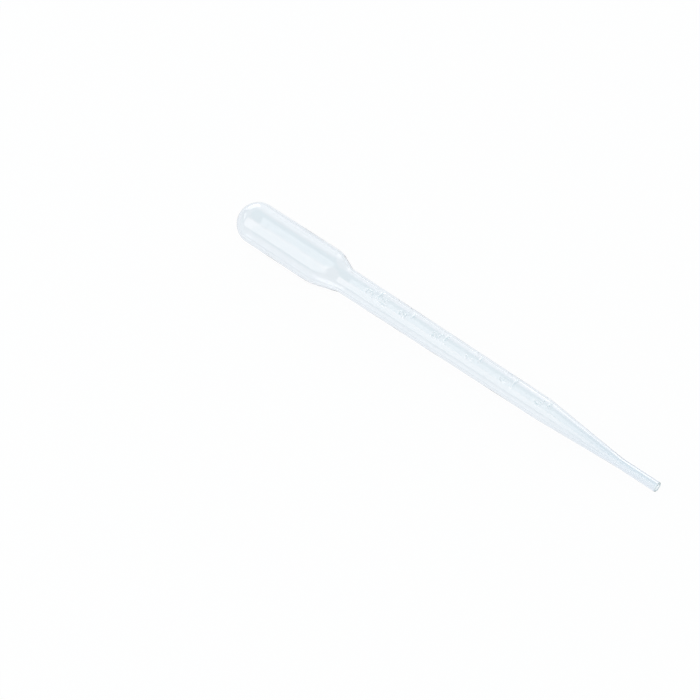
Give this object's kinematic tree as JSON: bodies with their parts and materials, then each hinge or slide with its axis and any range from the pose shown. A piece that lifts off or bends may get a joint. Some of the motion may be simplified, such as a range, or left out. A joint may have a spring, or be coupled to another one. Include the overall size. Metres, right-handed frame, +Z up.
{
  "type": "graduated dropper pipette",
  "caption": "Translucent one-piece dropper pipette lying on its side: a round-ended squeeze bulb, a slanted shoulder, a graduated stem and an open tapered nozzle.",
  "frame": {"origin": "on the surface the pipette lies on, under the middle of its bounding box", "axes": "+X from the closed end of the bulb to the open tip, +Z up, with the graduations on top; the pipette's own axis leans 2.0 degrees down towards the tip"},
  "size_m": [0.155, 0.013, 0.0139],
  "materials": {
    "polyethylene": "natural low-density polyethylene, milky and translucent, with a soft moulded gloss"
  },
  "bodies": {
    "root": {"pipette": "polyethylene"}
  },
  "joints": []
}
